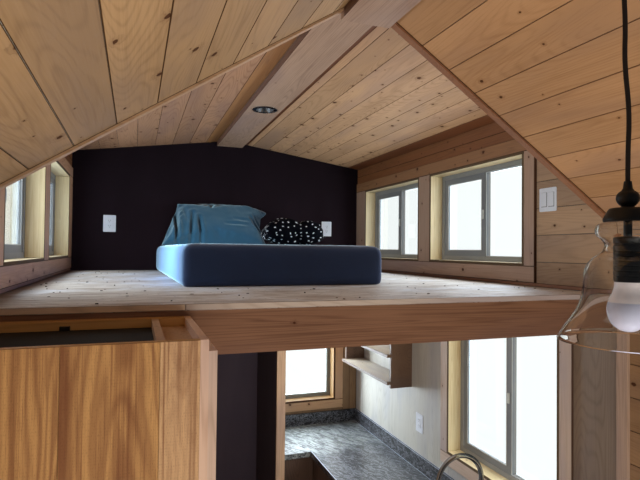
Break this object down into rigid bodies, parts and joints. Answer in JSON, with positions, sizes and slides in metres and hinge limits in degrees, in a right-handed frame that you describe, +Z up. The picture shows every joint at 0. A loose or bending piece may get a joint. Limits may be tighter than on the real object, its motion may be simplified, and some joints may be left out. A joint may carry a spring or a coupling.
{
  "type": "end bay of a tiny house with a sleeping loft",
  "caption": "Open-fronted end bay of a small timber house: low-dormered sleeping loft with a bed, kitchen corner below it, closet and hanging lamp.",
  "frame": {"origin": "on the underside of the floor, midway between the side walls, below the front edge of the loft deck", "axes": "+X to the right across the house, +Y from the open front into the loft, +Z up"},
  "size_m": [2.64, 4.014, 3.6093],
  "materials": {
    "floor": "matt",
    "siding": "matt painted boards",
    "dark_paint": "matt dark paint",
    "pine": "clear matt",
    "fir": "raw",
    "deck_board": "raw sheet",
    "plywood": "raw sheet",
    "window_vinyl": "satin",
    "window_glass": "clear",
    "outside_trim": "painted",
    "roofing": "satin",
    "counter_laminate": "gloss",
    "dark_wood": "satin",
    "steel": "brushed",
    "veneer": "satin",
    "dark_panel": "matt",
    "white_plastic": "satin",
    "lamp_metal": "bright",
    "mattress_cloth": "woven",
    "pillow_cloth": "woven",
    "dotted_cloth": "woven",
    "black_metal": "satin",
    "black_cord": "matt",
    "shade_glass": "clear",
    "bulb_glass": "frosted"
  },
  "bodies": {
    "root": {"backsplash": "counter_laminate", "base_cabinets": "dark_wood", "ceiling_trim_left": "fir", "ceiling_trim_right": "fir", "closet_divider": "pine", "closet_front": "veneer", "closet_rail": "pine", "closet_shelf": "dark_panel", "closet_side": "pine", "closet_strip": "pine", "countertop": "counter_laminate", "dormer_cheek_left": "siding", "dormer_cheek_right": "siding", "dormer_roof_left": "pine", "dormer_roof_right": "pine", "dotted_cushion": "dotted_cloth", "downlight": "lamp_metal", "end_wall": "dark_paint", "end_window_casing": "pine", "end_window_frame": "window_vinyl", "end_window_glass": "window_glass", "faucet": "steel", "floor_platform": "floor", "kitchen_shelf": "pine", "left_loft_casing": "pine", "left_wall": "siding", "left_window_frames": "window_vinyl", "left_window_glass": "window_glass", "left_window_sashes": "window_vinyl", "loft_beam": "fir", "loft_deck": "deck_board", "loft_joists": "pine", "loft_ledgers": "pine", "main_roof_left": "pine", "main_roof_right": "pine", "mattress": "mattress_cloth", "outside_casing_end": "outside_trim", "outside_casing_left": "outside_trim", "outside_casing_right": "outside_trim", "partition": "dark_paint", "partition_post": "pine", "pendant_bulb": "bulb_glass", "pendant_canopy": "black_metal", "pendant_cap": "black_metal", "pendant_cord": "black_cord", "pendant_shade": "shade_glass", "pillow": "pillow_cloth", "ridge_board": "pine", "ridge_box": "pine", "right_loft_casing": "pine", "right_wall": "siding", "right_window_frames": "window_vinyl", "right_window_glass": "window_glass", "right_window_sashes": "window_vinyl", "sink": "steel", "tall_window_casing": "pine", "wall_panel": "plywood", "wall_plates": "white_plastic", "wall_strip": "pine"}
  },
  "joints": []
}
